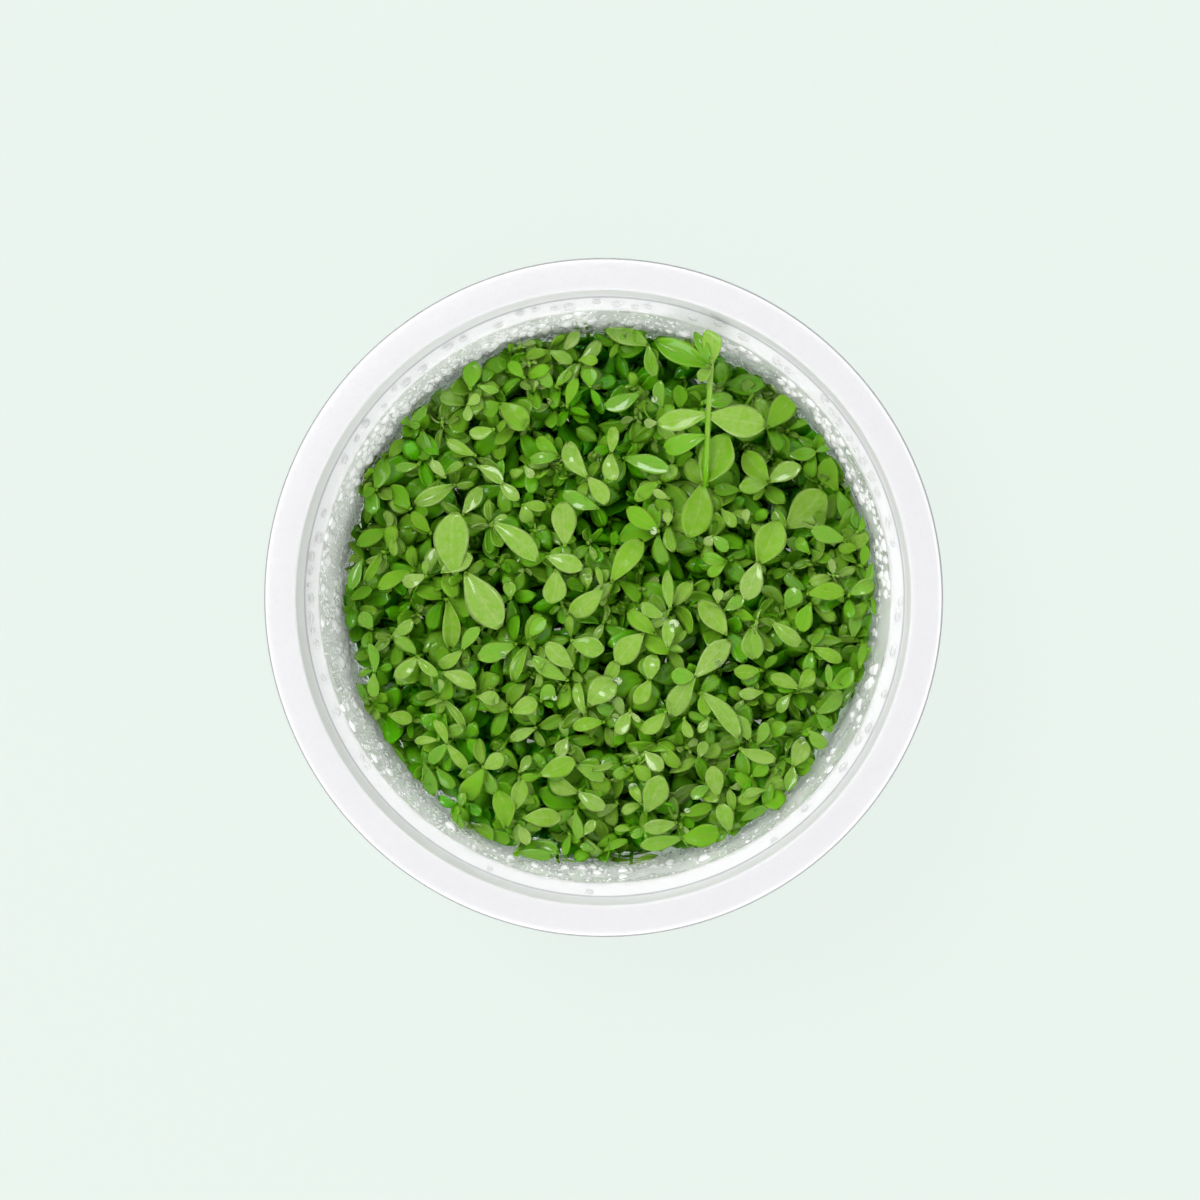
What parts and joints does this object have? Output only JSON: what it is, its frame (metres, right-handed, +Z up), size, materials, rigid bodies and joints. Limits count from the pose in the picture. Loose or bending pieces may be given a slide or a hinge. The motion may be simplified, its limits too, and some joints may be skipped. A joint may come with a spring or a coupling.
{
  "type": "culture cup of monte carlo baby tears",
  "caption": "Dense cushion of small round-leaved aquarium plants growing on nutrient gel in an open clear cup with a wide flat rim.",
  "frame": {"origin": "centre of the cup's foot ring, on the surface that the cup stands on", "axes": "+Z up out of the cup's mouth, +X to the right and +Y to the top of the picture's view from above"},
  "size_m": [0.1, 0.1, 0.052],
  "materials": {
    "cup_plastic": "clear thin moulded plastic, milky white on the flange and the shoulder",
    "gel": "pale cloudy nutrient gel, smooth and wet",
    "leaf": "fresh green leaf, wet and glossy, lighter at its margin"
  },
  "bodies": {
    "root": {"cup": "cup_plastic", "gel": "gel", "leaning_sprig": "leaf", "plantlet_01": "leaf", "plantlet_02": "leaf", "plantlet_03": "leaf", "plantlet_04": "leaf", "plantlet_05": "leaf", "plantlet_06": "leaf", "plantlet_07": "leaf", "plantlet_08": "leaf", "plantlet_09": "leaf", "plantlet_10": "leaf", "plantlet_11": "leaf", "plantlet_12": "leaf", "plantlet_13": "leaf", "plantlet_14": "leaf", "plantlet_15": "leaf", "plantlet_16": "leaf", "plantlet_17": "leaf", "plantlet_18": "leaf", "plantlet_19": "leaf", "plantlet_20": "leaf", "plantlet_21": "leaf", "plantlet_22": "leaf", "plantlet_23": "leaf", "plantlet_24": "leaf", "plantlet_25": "leaf", "plantlet_26": "leaf", "plantlet_27": "leaf", "plantlet_28": "leaf", "plantlet_29": "leaf", "plantlet_30": "leaf", "plantlet_31": "leaf", "plantlet_32": "leaf", "plantlet_33": "leaf"}
  },
  "joints": []
}
